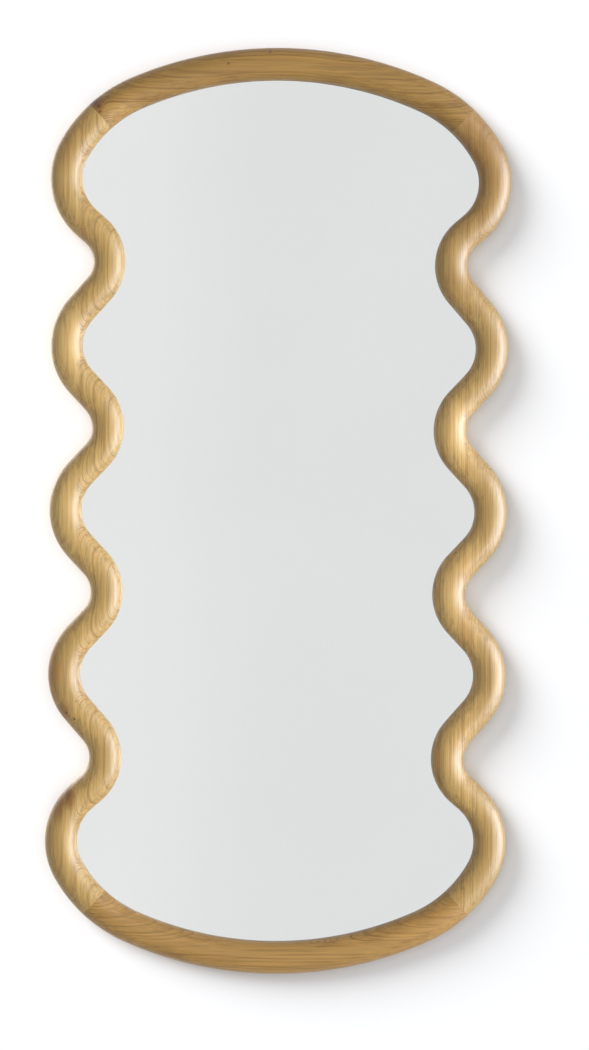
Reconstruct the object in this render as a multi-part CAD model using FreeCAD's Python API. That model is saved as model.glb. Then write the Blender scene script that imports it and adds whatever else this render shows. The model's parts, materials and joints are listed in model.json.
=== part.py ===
import FreeCAD, Part
import math
import os
from collections import namedtuple

# Wavy wall mirror. X runs to the right seen from the front, Y towards the wall, Z up.
# The wall is the plane Y = 0 and the origin lies in it, behind the middle of the mirror.
# Lengths are in millimetres and angles in degrees.

# Overall outline of the wooden frame
FRAME_WIDTH = 608.0
FRAME_HEIGHT = 1220.0
CROWN_RISE = 174.0              # top of the frame above the middle of the corner lobes
MIDDLE_SET_IN = 2.3             # the three middle lobes stop this far inside the corner lobes
WAVE_DEPTH = 55.0               # from the crest of a middle lobe to the crest of an inward one
MIDDLE_PITCH_SHARE = 0.992      # spacing of the middle lobes, as a share of an even spacing
OUTWARD_RADIUS_SHARE = 0.565    # an outward lobe's part of the radii of two lobes that meet
MIDDLE_SLANT = 43.2             # slope of the straight stretch between two middle lobes
CORNER_SLANT = 49.5             # slope of the straight stretch below a corner lobe
SHOULDER_START = 29.2           # where the corner lobe eases into the shoulder
CROWN_START = 66.2              # where the shoulder eases into the flat crown
MITRE_ANGLE = 47.0              # where rail and stile meet, along the shoulder

# Cross-section of the bar
BAR_WIDTH = 42.0
BAR_DEPTH = 32.0
BACK_CHAMFER = 2.0              # eases the outer edge of the back
LIP_COVER = 8.0                 # how far the front lip reaches over the rebate
BOARD_LEDGE = 9.5               # width of the second step, which carries the backing board
EDGE_PLAY = 1.0                 # free edge round the glass and round the board
GLUE_COVER = 3.5                # wood inside the glue line at the waist of a middle lobe

# Glass and backing board
GLASS_THICKNESS = 4.0
BOARD_THICKNESS = 3.0
BOARD_RECESS = 1.0              # the board lies this far inside the back of the frame

# Gap between the wall and the back of the frame, filled by the bumpers
WALL_GAP = 6.0

# Dowels across the joints of rails and stiles
DOWEL_RADIUS = 4.0
DOWEL_LENGTH = 40.0
DOWEL_SPACING = 15.0
DOWEL_HEIGHT = 15.0             # above the back of the frame
DOWEL_FIT = 0.05                # glue gap round a dowel
DOWEL_END_GAP = 1.0

# Screws of the backing board
BOARD_SCREW_RADIUS = 1.5
BOARD_SCREW_LENGTH = 15.0
BOARD_SCREW_HEAD_RADIUS = 3.0
BOARD_SCREW_HEAD_HEIGHT = 1.6
RAIL_SCREW_PITCH = 115.0

# Hanger ring: steel wire bent to a D
WIRE_RADIUS = 1.25
RING_HALF_WIDTH = 9.0           # from the middle of the D to the middle of its leg
RING_CORNER = 2.5
RING_LEG = 8.0                  # from the hinge to where the bow starts
RING_FIT = 0.1                  # radial clearance of the wire in the folded strap
RING_STAND_OFF = 0.3            # gap left between the resting ring and the wood

# Hanger strap: folded sheet steel
STRAP_WIDTH = 12.0
STRAP_THICKNESS = 1.2
STRAP_LENGTH = 38.0             # below the hinge
STRAP_FOLD = 15.0               # how far the folded layer comes back below the hinge
STRAP_END_SHARE = 0.45          # corner radius of the strap's foot, as a share of its width
STRAP_SIDE_SHIFT = 4.5          # outwards from the middle of the bar
HINGE_ABOVE_LOBE = 10.0         # hinge above the middle of the corner lobe
HANGER_SCREW_DROPS = (9.5, 29.0)
HANGER_SCREW_RADIUS = 2.0
HANGER_SCREW_LENGTH = 18.0
HANGER_SCREW_HEAD_RADIUS = 3.8
HANGER_SCREW_HEAD_HEIGHT = 2.0

# Wall bumper: a soft round pad that tapers towards the wall
BUMPER_RADIUS = 8.0
BUMPER_FACE_RADIUS = 6.5
BUMPER_SIDE_SHIFT = 6.5         # outwards from the middle of the bar

# Length by which every cutting tool runs past what it cuts
OVERRUN = 5.0

# Two points closer than this are the same point
SAME_POINT = 0.001

Arc = namedtuple("Arc", "x z radius start end")

FRONTWARDS = FreeCAD.Vector(0, -1, 0)
WALLWARDS = FreeCAD.Vector(0, 1, 0)
ORIGIN = FreeCAD.Vector(0, 0, 0)
BACK_Y = -WALL_GAP
HALF_BAR = BAR_WIDTH / 2
SPRING_HEIGHT = BAR_DEPTH - HALF_BAR                    # where the round front springs from
BOARD_FRONT = BOARD_RECESS + BOARD_THICKNESS
LIP_HEIGHT = BOARD_FRONT + GLASS_THICKNESS
GLASS_STEP = LIP_COVER - HALF_BAR                       # sideways place of the first step
BOARD_STEP = GLASS_STEP + BOARD_LEDGE
CORNER_REACH = FRAME_WIDTH / 2 - HALF_BAR
MIDDLE_REACH = CORNER_REACH - MIDDLE_SET_IN
INWARD_REACH = MIDDLE_REACH - WAVE_DEPTH
CORNER_Z = FRAME_HEIGHT / 2 - CROWN_RISE
GLUE_X = MIDDLE_REACH - HALF_BAR + GLUE_COVER


def place(x, z, height=0.0):
    """A point of the frame, at a height above the back of the frame."""
    return FreeCAD.Vector(x, BACK_Y - height, z)


def radii_of_wave(half_pitch, depth, slant):
    """The radii, added up, of two tangent lobes with a straight stretch at the slant between."""
    turn = math.radians(slant)
    return (half_pitch * math.sin(turn) - depth * math.cos(turn)) / (1 - math.cos(turn))


def turn_between(outward, inward):
    """How far two lobes turn, in degrees, up to the straight stretch that touches both."""
    across = inward.x - outward.x
    along = abs(inward.z - outward.z)
    reach = math.acos((outward.radius + inward.radius) / math.hypot(across, along))
    return math.degrees(math.atan2(along, across) - reach)


def side_lobes():
    """The nine lobes of the right side from the bottom up, outward and inward by turns."""
    pitch = CORNER_Z / 2 * MIDDLE_PITCH_SHARE
    heights = [-CORNER_Z, -pitch, 0, pitch, CORNER_Z]
    both = radii_of_wave(pitch / 2, WAVE_DEPTH, MIDDLE_SLANT)
    outward_radius = both * OUTWARD_RADIUS_SHARE
    inward_radius = both - outward_radius
    last_half = (CORNER_Z - pitch) / 2
    corner_depth = WAVE_DEPTH + MIDDLE_SET_IN
    corner_radius = radii_of_wave(last_half, corner_depth, CORNER_SLANT) - inward_radius
    lobes = []
    for below, above in zip(heights, heights[1:]):
        if below == -CORNER_Z:
            lobes.append(Arc(CORNER_REACH - corner_radius, below, corner_radius, 0, 0))
        else:
            lobes.append(Arc(MIDDLE_REACH - outward_radius, below, outward_radius, 0, 0))
        lobes.append(Arc(INWARD_REACH + inward_radius, (below + above) / 2, inward_radius, 0, 0))
    lobes.append(Arc(CORNER_REACH - corner_radius, CORNER_Z, corner_radius, 0, 0))
    turns = [SHOULDER_START]
    for number in range(len(lobes) - 1):
        pair = sorted(lobes[number:number + 2], key=lambda lobe: lobe.x)
        turns.append(turn_between(pair[0], pair[1]))
    turns.append(SHOULDER_START)
    arcs = []
    for number, lobe in enumerate(lobes):
        if number % 2 == 0:
            arcs.append(lobe._replace(start=-turns[number], end=turns[number + 1]))
        else:
            arcs.append(lobe._replace(start=180 + turns[number], end=180 - turns[number + 1]))
    return arcs


def crown_arcs(corner):
    """The shoulder and the crown arc that carry a corner lobe over to the middle of the top."""
    first = math.radians(SHOULDER_START)
    last = math.radians(CROWN_START)
    run = corner.x + corner.radius * math.cos(first)
    rise = FRAME_HEIGHT / 2 - HALF_BAR - corner.z - corner.radius * math.sin(first)
    across = math.cos(first) - math.cos(last)
    up = math.sin(last) - math.sin(first)
    divisor = across * (1 - math.sin(last)) - math.cos(last) * up
    shoulder_radius = (run * (1 - math.sin(last)) - rise * math.cos(last)) / divisor
    crown_radius = (rise * across - run * up) / divisor
    shoulder_x = corner.x + (corner.radius - shoulder_radius) * math.cos(first)
    shoulder_z = corner.z + (corner.radius - shoulder_radius) * math.sin(first)
    shoulder = Arc(shoulder_x, shoulder_z, shoulder_radius, SHOULDER_START, CROWN_START)
    crown_z = FRAME_HEIGHT / 2 - HALF_BAR - crown_radius
    crown = Arc(0, crown_z, crown_radius, CROWN_START, 180 - CROWN_START)
    return shoulder, crown


SIDE_LOBES = side_lobes()
TOP_CORNER = SIDE_LOBES[-1]
SHOULDER, CROWN = crown_arcs(TOP_CORNER)

# The right stile runs from mitre to mitre, and the top rail on from there
STILE_PATH = [SHOULDER._replace(z=-SHOULDER.z, start=-MITRE_ANGLE, end=-SHOULDER_START)]
STILE_PATH += SIDE_LOBES
STILE_PATH += [SHOULDER._replace(end=MITRE_ANGLE)]
RAIL_PATH = [SHOULDER._replace(start=MITRE_ANGLE), CROWN]
RAIL_PATH += [SHOULDER._replace(x=-SHOULDER.x, start=180 - CROWN_START, end=180 - MITRE_ANGLE)]
HALF_LOOP = STILE_PATH + RAIL_PATH
LOOP = HALF_LOOP + [
    arc._replace(x=-arc.x, z=-arc.z, start=arc.start + 180, end=arc.end + 180) for arc in HALF_LOOP
]


def side_of(arc):
    """1 where the arc bulges away from the mirror, and -1 where it bulges into it."""
    return 1 if arc.end > arc.start else -1


def station(arc, angle, outwards=0.0, height=0.0):
    """The point at an angle of the arc, shifted away from the mirror and up from the back."""
    radius = arc.radius + side_of(arc) * outwards
    turn = math.radians(angle)
    return place(arc.x + radius * math.cos(turn), arc.z + radius * math.sin(turn), height)


def straight_ends(arc, following, outwards=0.0, height=0.0):
    """The ends of the straight stretch after an arc, or None where the next arc follows at once."""
    first = station(arc, arc.end, outwards, height)
    last = station(following, following.start, outwards, height)
    return None if first.isEqual(last, SAME_POINT) else (first, last)


def outline(outwards):
    """The closed wire that runs beside the middle line of the bar, at the back of the frame."""
    edges = []
    for arc, following in zip(LOOP, LOOP[1:] + LOOP[:1]):
        points = [station(arc, angle, outwards) for angle in (arc.start, (arc.start + arc.end) / 2, arc.end)]
        edges.append(Part.Arc(*points).toShape())
        ends = straight_ends(arc, following, outwards)
        if ends:
            edges.append(Part.LineSegment(*ends).toShape())
    return Part.Wire(edges)


def sheet(outwards, low, high):
    """A flat sheet that follows the outline, between two heights above the back of the frame."""
    face = Part.Face(outline(outwards))
    face.translate(FRONTWARDS * low)
    return face.extrude(FRONTWARDS * (high - low))


def bar_section(arc, angle):
    """The cross-section of the bar: half-round front, straight sides, rebate in two steps."""
    def at(sideways, height):
        return station(arc, angle, sideways, height)

    def line(first, last):
        return Part.LineSegment(at(*first), at(*last)).toShape()

    def bend(first, middle, last):
        return Part.Arc(at(*first), at(*middle), at(*last)).toShape()

    edges = [
        line((BOARD_STEP, 0), (HALF_BAR - BACK_CHAMFER, 0)),
        line((HALF_BAR - BACK_CHAMFER, 0), (HALF_BAR, BACK_CHAMFER)),
        line((HALF_BAR, BACK_CHAMFER), (HALF_BAR, SPRING_HEIGHT)),
        bend((HALF_BAR, SPRING_HEIGHT), (0, BAR_DEPTH), (-HALF_BAR, SPRING_HEIGHT)),
        line((-HALF_BAR, SPRING_HEIGHT), (-HALF_BAR, LIP_HEIGHT)),
        line((-HALF_BAR, LIP_HEIGHT), (GLASS_STEP, LIP_HEIGHT)),
        line((GLASS_STEP, LIP_HEIGHT), (GLASS_STEP, BOARD_FRONT)),
        line((GLASS_STEP, BOARD_FRONT), (BOARD_STEP, BOARD_FRONT)),
        line((BOARD_STEP, BOARD_FRONT), (BOARD_STEP, 0)),
    ]
    return Part.Face(Part.Wire(edges))


def swept_bar(path):
    """The bar along a chain of arcs and the straight stretches that join them."""
    stretches = []
    for arc, following in zip(path, path[1:] + [None]):
        section = bar_section(arc, arc.start)
        turn = arc.end - arc.start
        stretches.append(section.revolve(place(arc.x, arc.z), FRONTWARDS * side_of(arc), abs(turn)))
        ends = straight_ends(arc, following) if following else None
        if ends:
            stretches.append(bar_section(arc, arc.end).extrude(ends[1] - ends[0]))
    return stretches[0].multiFuse(stretches[1:]).removeSplitter()


def pegs(spots, radius, low, high):
    """Round pegs square to the wall, between two heights above the back of the frame."""
    return [
        Part.makeCylinder(radius, high - low, place(spot.x, spot.z, low), FRONTWARDS) for spot in spots
    ]


def screws(spots, head_radius, head_height, radius, length, seat):
    """Screws driven in from behind, with their heads seated at a height from the frame's back."""
    heads = pegs(spots, head_radius, seat - head_height, seat)
    shanks = pegs(spots, radius, seat, seat + length - head_height)
    return [head.fuse(shank).removeSplitter() for head, shank in zip(heads, shanks)]


def mitre_dowels(radius, length):
    """The two dowels that cross the upper right mitre, square to it."""
    turn = math.radians(MITRE_ANGLE)
    along = FreeCAD.Vector(-math.sin(turn), 0, math.cos(turn))
    dowels = []
    for sideways in (-DOWEL_SPACING / 2, DOWEL_SPACING / 2):
        middle = station(SHOULDER, MITRE_ANGLE, sideways, DOWEL_HEIGHT)
        dowels.append(Part.makeCylinder(radius, length, middle - along * (length / 2), along))
    return dowels


def to_left(shape):
    return shape.mirror(ORIGIN, FreeCAD.Vector(1, 0, 0))


def to_bottom(shape):
    return shape.mirror(ORIGIN, FreeCAD.Vector(0, 0, 1))


def right_and_left(shapes):
    return shapes + [to_left(shape) for shape in shapes]


def all_corners(shapes):
    both = right_and_left(shapes)
    return both + [to_bottom(shape) for shape in both]


def board_screw_spots():
    """Places of the backing board's screws: one at each outward lobe and three on each rail."""
    middle_of_ledge = (GLASS_STEP + BOARD_STEP - EDGE_PLAY) / 2
    right = [station(lobe, 0, middle_of_ledge) for lobe in SIDE_LOBES[::2]]
    turn = math.degrees(RAIL_SCREW_PITCH / CROWN.radius)
    top = [station(CROWN, 90 + turn * step, middle_of_ledge) for step in (-1, 0, 1)]
    left = [FreeCAD.Vector(-spot.x, spot.y, spot.z) for spot in right]
    bottom = [FreeCAD.Vector(spot.x, spot.y, -spot.z) for spot in top]
    return right + left + top + bottom


# The hinge of the right ring, and the places of its strap's screws
STRAP_X = CORNER_REACH + STRAP_SIDE_SHIFT
HINGE_Z = CORNER_Z + HINGE_ABOVE_LOBE
BARREL_BORE = WIRE_RADIUS + RING_FIT
BARREL_RADIUS = BARREL_BORE + STRAP_THICKNESS
HANGER_SCREW_SPOTS = [FreeCAD.Vector(STRAP_X, 0, HINGE_Z - drop) for drop in HANGER_SCREW_DROPS]


def hanger_ring():
    """The right ring: a D of wire that stands up from its hinge and leans on the wood."""
    def at(sideways, up):
        return place(STRAP_X + sideways, HINGE_Z + up, -BARREL_RADIUS)

    inner = RING_HALF_WIDTH - RING_CORNER
    slanted = RING_CORNER * (1 - math.sqrt(1 / 2))
    bend = Part.Arc(at(inner, 0), at(RING_HALF_WIDTH - slanted, slanted), at(RING_HALF_WIDTH, RING_CORNER))
    bow = Part.Arc(
        at(RING_HALF_WIDTH, RING_LEG), at(0, RING_LEG + RING_HALF_WIDTH), at(-RING_HALF_WIDTH, RING_LEG))
    back = Part.Arc(at(-RING_HALF_WIDTH, RING_CORNER), at(slanted - RING_HALF_WIDTH, slanted), at(-inner, 0))
    path = Part.Wire([
        Part.LineSegment(at(-inner, 0), at(inner, 0)).toShape(),
        bend.toShape(),
        Part.LineSegment(at(RING_HALF_WIDTH, RING_CORNER), at(RING_HALF_WIDTH, RING_LEG)).toShape(),
        bow.toShape(),
        Part.LineSegment(at(-RING_HALF_WIDTH, RING_LEG), at(-RING_HALF_WIDTH, RING_CORNER)).toShape(),
        back.toShape(),
    ])
    section = Part.Wire([Part.makeCircle(WIRE_RADIUS, at(-inner, 0), FreeCAD.Vector(1, 0, 0))])
    ring = path.makePipeShell([section], True, True)
    fall = BARREL_RADIUS - WIRE_RADIUS - RING_STAND_OFF
    lean = math.degrees(math.asin(fall / (RING_LEG + RING_HALF_WIDTH)))
    ring.rotate(at(0, 0), FreeCAD.Vector(1, 0, 0), lean)
    return ring


def hanger_strap():
    """The right strap: a strip folded round the ring's bar, its two ends lying on the wood."""
    def at(down, behind):
        return place(STRAP_X - STRAP_WIDTH / 2, HINGE_Z - down, -behind)

    def line(first, last):
        return Part.LineSegment(at(*first), at(*last)).toShape()

    top = 2 * BARREL_RADIUS
    double = 2 * STRAP_THICKNESS
    slope_end = BARREL_RADIUS + STRAP_THICKNESS
    edges = [
        Part.Arc(at(0, 0), at(-BARREL_RADIUS, BARREL_RADIUS), at(0, top)).toShape(),
        line((0, top), (slope_end, double)),
        line((slope_end, double), (STRAP_FOLD, double)),
        line((STRAP_FOLD, double), (STRAP_FOLD, STRAP_THICKNESS)),
        line((STRAP_FOLD, STRAP_THICKNESS), (STRAP_LENGTH, STRAP_THICKNESS)),
        line((STRAP_LENGTH, STRAP_THICKNESS), (STRAP_LENGTH, 0)),
        line((STRAP_LENGTH, 0), (0, 0)),
    ]
    across = FreeCAD.Vector(STRAP_WIDTH, 0, 0)
    strap = Part.Face(Part.Wire(edges)).extrude(across)
    foot = strap.BoundBox.ZMin + SAME_POINT
    foot_corners = [
        edge for edge in strap.Edges if edge.BoundBox.ZMax < foot and edge.BoundBox.XLength < SAME_POINT
    ]
    strap = strap.makeFillet(STRAP_WIDTH * STRAP_END_SHARE, foot_corners)
    bore = Part.makeCylinder(BARREL_BORE, STRAP_WIDTH, at(0, BARREL_RADIUS), across)
    return strap.cut(bore)


def wall_bumper():
    """The right bumper: a soft pad on the back of the bottom corner lobe."""
    spot = place(CORNER_REACH + BUMPER_SIDE_SHIFT, -CORNER_Z)
    return Part.makeCone(BUMPER_RADIUS, BUMPER_FACE_RADIUS, WALL_GAP, spot, WALLWARDS)


def main():
    """Makes every piece and writes each under its own name."""
    board_screws = board_screw_spots()
    board_shank = BOARD_SCREW_LENGTH - BOARD_SCREW_HEAD_HEIGHT
    board_holes = pegs(board_screws, BOARD_SCREW_RADIUS, 0, BOARD_RECESS + board_shank)
    hanger_shank = HANGER_SCREW_LENGTH - HANGER_SCREW_HEAD_HEIGHT
    hanger_holes = pegs(HANGER_SCREW_SPOTS, HANGER_SCREW_RADIUS, 0, hanger_shank)
    dowel_holes = all_corners(mitre_dowels(DOWEL_RADIUS + DOWEL_FIT, DOWEL_LENGTH + 2 * DOWEL_END_GAP))
    holes = board_holes + dowel_holes

    stile = swept_bar(STILE_PATH)
    outside = Part.makeBox(
        FRAME_WIDTH, BAR_DEPTH + 2 * OVERRUN, FRAME_HEIGHT,
        FreeCAD.Vector(GLUE_X, BACK_Y - BAR_DEPTH - OVERRUN, -FRAME_HEIGHT / 2))
    inner_board = stile.cut(outside)
    outer_lobes = stile.common(outside)
    top_rail = swept_bar(RAIL_PATH)

    parts = {
        "top_rail": top_rail.cut(holes),
        "bottom_rail": to_bottom(top_rail).cut(holes),
        "right_stile_inner_board": inner_board.cut(holes),
        "left_stile_inner_board": to_left(inner_board).cut(holes),
        "right_stile_outer_lobes": outer_lobes.cut(holes + right_and_left(hanger_holes)),
        "left_stile_outer_lobes": to_left(outer_lobes).cut(holes + right_and_left(hanger_holes)),
        "corner_dowels": Part.makeCompound(all_corners(mitre_dowels(DOWEL_RADIUS, DOWEL_LENGTH))),
        "mirror_glass": sheet(GLASS_STEP - EDGE_PLAY, BOARD_FRONT, LIP_HEIGHT),
        "backing_board": sheet(BOARD_STEP - EDGE_PLAY, BOARD_RECESS, BOARD_FRONT).cut(board_holes),
        "backing_screws": Part.makeCompound(screws(
            board_screws, BOARD_SCREW_HEAD_RADIUS, BOARD_SCREW_HEAD_HEIGHT,
            BOARD_SCREW_RADIUS, BOARD_SCREW_LENGTH, BOARD_RECESS)),
    }
    strap_holes = pegs(HANGER_SCREW_SPOTS, HANGER_SCREW_RADIUS, -2 * BARREL_RADIUS, 0)
    seats = (-2 * STRAP_THICKNESS, -STRAP_THICKNESS)
    hanger_screws = []
    for spot, seat in zip(HANGER_SCREW_SPOTS, seats):
        hanger_screws += screws(
            [spot], HANGER_SCREW_HEAD_RADIUS, HANGER_SCREW_HEAD_HEIGHT,
            HANGER_SCREW_RADIUS, HANGER_SCREW_LENGTH, seat)
    right_pieces = {
        "hanger_strap": hanger_strap().cut(strap_holes),
        "hanger_ring": hanger_ring(),
        "hanger_screws": Part.makeCompound(hanger_screws),
        "wall_bumper": wall_bumper(),
    }
    for name, shape in right_pieces.items():
        parts["right_" + name] = shape
        parts["left_" + name] = to_left(shape)

    os.makedirs("parts", exist_ok=True)
    for name, shape in parts.items():
        shape.exportStep("parts/" + name + ".step")
        solids = shape.Solids
        volume = sum(solid.Volume for solid in solids)
        sound = all(solid.isValid() for solid in solids)
        print(f"{name:26s} solids {len(solids):2d}  volume {volume:12.1f} mm3  sound {sound}")
    for arc in STILE_PATH + RAIL_PATH:
        print(f"arc radius {arc.radius:7.2f} centre {arc.x:8.2f} {arc.z:8.2f}"
              f" from {arc.start:7.2f} to {arc.end:7.2f}")
    hinge = place(STRAP_X, HINGE_Z, -BARREL_RADIUS)
    print(f"hinge of the right ring x {hinge.x:.3f} y {hinge.y:.3f} z {hinge.z:.3f}")


if __name__ == "__main__":
    main()
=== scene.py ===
import json
import math
from collections import namedtuple

import bmesh
import bpy
from bpy.props import FloatProperty, FloatVectorProperty, PointerProperty
from mathutils import Matrix, Vector


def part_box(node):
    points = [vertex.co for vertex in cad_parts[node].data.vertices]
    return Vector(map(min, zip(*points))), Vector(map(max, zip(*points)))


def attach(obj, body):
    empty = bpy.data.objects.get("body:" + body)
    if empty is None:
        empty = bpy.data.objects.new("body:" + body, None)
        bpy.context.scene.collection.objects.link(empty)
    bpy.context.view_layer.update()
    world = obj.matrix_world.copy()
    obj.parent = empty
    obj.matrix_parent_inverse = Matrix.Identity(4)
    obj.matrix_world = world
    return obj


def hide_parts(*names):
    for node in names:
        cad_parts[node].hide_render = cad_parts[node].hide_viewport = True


bl_info = {
    "name": "Wavy Wall Mirror",
    "version": (1, 0, 0),
    "blender": (4, 5, 0),
    "location": "View3D > Sidebar > Wavy Mirror",
    "description": "Models a wall mirror in a waved wooden frame, with its back and its hangers",
    "category": "Add Mesh",
}

# Metres throughout, and radians unless degrees are named. X runs to the right, Y into the wall, Z up,
# and the wall is Y = 0.
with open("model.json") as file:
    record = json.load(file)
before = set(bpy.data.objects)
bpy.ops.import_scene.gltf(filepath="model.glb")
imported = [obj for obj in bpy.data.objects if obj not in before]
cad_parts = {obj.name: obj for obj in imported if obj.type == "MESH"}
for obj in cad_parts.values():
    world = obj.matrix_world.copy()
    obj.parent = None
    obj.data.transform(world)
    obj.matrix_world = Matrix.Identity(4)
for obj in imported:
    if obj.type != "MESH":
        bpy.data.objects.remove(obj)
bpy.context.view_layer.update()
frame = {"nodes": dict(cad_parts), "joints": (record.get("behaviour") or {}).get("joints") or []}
HINGES = {joint["child"]: Vector(joint["pos_m"]) for joint in frame["joints"]}
BACK_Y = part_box("top_rail")[1].y

# How finely the shapes are divided
STATION_SPACING = 0.0025
FRONT_STEPS = 40
WIRE_STEPS = 16
WIRE_SPACING = 0.0008
ROUND_STEPS = 48
FOLD_STEPS = 16
FOOT_STEPS = 8
BUMPER_STEPS = 5

# Two points closer than this are one point, faces that turn by more than the next value meet in an
# edge, and a face looks along an axis where that part of its normal is above the last
SAME_POINT = 0.00001
EDGE_TURN = math.radians(32)
ALONG_AXIS = 0.99

FULL_TURN = 2 * math.pi
SQUARE = math.pi / 2
FRONTWARDS = Vector((0, -1, 0))

Arc = namedtuple("Arc", "x z radius start end")


def length(name, description, default):
    return FloatProperty(name=name, description=description, default=default, unit="LENGTH", precision=5)


def angle(name, description, degrees):
    return FloatProperty(
        name=name, description=description, default=math.radians(degrees), subtype="ANGLE")


def share(name, description, default):
    return FloatProperty(name=name, description=description, default=default, subtype="FACTOR")


def strength(name, description, default):
    return FloatProperty(name=name, description=description, default=default)


def colour(name, description, default):
    return FloatVectorProperty(
        name=name, description=description, default=default, subtype="COLOR", size=3, min=0, max=1)


class WavyFrameSizes(bpy.types.PropertyGroup):
    """Outline of the wooden frame and section of its bar."""
    width: length("Width", "Over the corner lobes", 0.608)
    height: length("Height", "Over the crowns of the rails", 1.22)
    crown_rise: length("Crown rise", "Crown above the middle of the corner lobes", 0.174)
    middle_set_in: length("Set-in", "Middle lobes stop this far inside the corner lobes", 0.0023)
    wave_depth: length("Wave depth", "From a middle lobe's crest to an inward one's", 0.055)
    pitch_share: share("Pitch share", "Spacing of the middle lobes, of an even spacing", 0.992)
    radius_share: share("Radius share", "An outward lobe's part of two radii that meet", 0.565)
    middle_slant: angle("Middle slant", "Slope of the straight between middle lobes", 43.2)
    corner_slant: angle("Corner slant", "Slope of the straight below a corner lobe", 49.5)
    shoulder_start: angle("Shoulder start", "Where the corner lobe eases into the shoulder", 29.2)
    crown_start: angle("Crown start", "Where the shoulder eases into the crown", 66.2)
    mitre: angle("Mitre", "Where rail and stile meet, along the shoulder", 47)
    bar_width: length("Bar width", "Width of the bar", 0.042)
    bar_depth: length("Bar depth", "Depth of the bar from crest to back", 0.032)
    back_chamfer: length("Back chamfer", "Eased outer edge of the back", 0.002)
    arris: length("Arris", "Sanded edges of lip and rebate", 0.0004)
    lip_cover: length("Lip cover", "How far the lip reaches over the rebate", 0.008)
    board_ledge: length("Ledge", "Width of the step that carries the board", 0.0095)
    glue_cover: length("Glue cover", "Wood inside the glue line at a lobe's waist", 0.0035)


class MirrorBackSizes(bpy.types.PropertyGroup):
    """Glass, backing board, their screws, and the wall bumpers."""
    glass: length("Glass", "Thickness of the glass", 0.004)
    glass_arris: length("Ground edge", "Width of the ground arris", 0.0005)
    silvering: length("Silvering", "Thickness of the silver and its paint", 0.0002)
    play: length("Play", "Free edge round glass and board", 0.001)
    board: length("Board", "Thickness of the backing board", 0.003)
    board_arris: length("Board arris", "Eased edge of the board", 0.0003)
    recess: length("Recess", "Board inside the back of the frame", 0.001)
    screw_head: length("Head radius", "Radius of a board screw's head", 0.003)
    screw_head_height: length("Head height", "Height of a board screw's head", 0.0016)
    screw_radius: length("Screw radius", "Radius of a board screw's shank", 0.0015)
    screw_length: length("Screw length", "Length with the head", 0.015)
    rail_screw_pitch: length("Screw pitch", "Spacing of the screws on a rail", 0.115)
    bumper_radius: length("Bumper radius", "Radius on the wood", 0.008)
    bumper_face: length("Bumper face", "Radius on the wall", 0.0065)
    bumper_round: length("Bumper rounding", "Rounding at the wall", 0.0012)


class HangerSizes(bpy.types.PropertyGroup):
    """Folded strap, D-shaped ring and two screws of a hanger."""
    wire: length("Wire radius", "Radius of the ring's wire", 0.00125)
    half_width: length("Half width", "Middle of the ring to the middle of its leg", 0.009)
    corner: length("Corner", "Radius of the ring's lower corners", 0.0025)
    leg: length("Leg", "Hinge to the start of the bow", 0.008)
    fit: length("Fit", "Clearance of the wire in the strap", 0.0001)
    stand_off: length("Stand-off", "Gap between the resting ring and the wood", 0.0003)
    strap_width: length("Strap width", "Width of the strap", 0.012)
    strap_thickness: length("Strap thickness", "Thickness of the sheet", 0.0012)
    strap_length: length("Strap length", "Length below the hinge", 0.038)
    strap_fold: length("Fold", "Length of the folded layer below the hinge", 0.015)
    fold_turn: angle("Fold turn", "How far the fold goes on past the half round", 42)
    fold_share: share("Fold rounding", "Corner radius of the folded layer's end, of the width", 0.30)
    foot_share: share("Foot rounding", "Corner radius of the foot, of the width", 0.45)
    strap_edge: length("Edge", "Broken edge of the sheet", 0.0002)
    screw_drop: length("First screw", "Below the hinge", 0.0095)
    screw_spacing: length("Screw spacing", "From the first screw to the second", 0.0195)
    screw_head: length("Head radius", "Radius of a screw head", 0.0038)
    screw_head_height: length("Head height", "Height of a screw head", 0.002)
    screw_radius: length("Screw radius", "Radius of the shank", 0.002)
    screw_length: length("Screw length", "Length with the head", 0.018)
    recess_share: share("Recess", "Reach of the cross recess, of the head's radius", 0.62)


class WoodColours(bpy.types.PropertyGroup):
    """Colours of the lacquered wood, before light and gloss."""
    early: colour("Early wood", "Pale part of a growth ring", (0.69, 0.412, 0.128))
    late: colour("Late wood", "Dark line of a growth ring", (0.38, 0.160, 0.028))
    heart: colour("Heart wood", "Browner streaks", (0.46, 0.215, 0.052))
    knot: colour("Knot", "Knots and pins", (0.150, 0.052, 0.010))
    halo: colour("Knot halo", "Brown wood round a knot", (0.25, 0.105, 0.030))
    fibre: share("Fibre", "How much the fine streaks lighten and darken the wood", 0.10)
    early_roughness: share("Early roughness", "Roughness of the early wood", 0.53)
    late_roughness: share("Late roughness", "Roughness of the late wood", 0.46)
    coat: share("Lacquer", "Weight of the lacquer", 0.35)
    coat_roughness: share("Lacquer roughness", "Roughness of the lacquer", 0.30)


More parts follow.
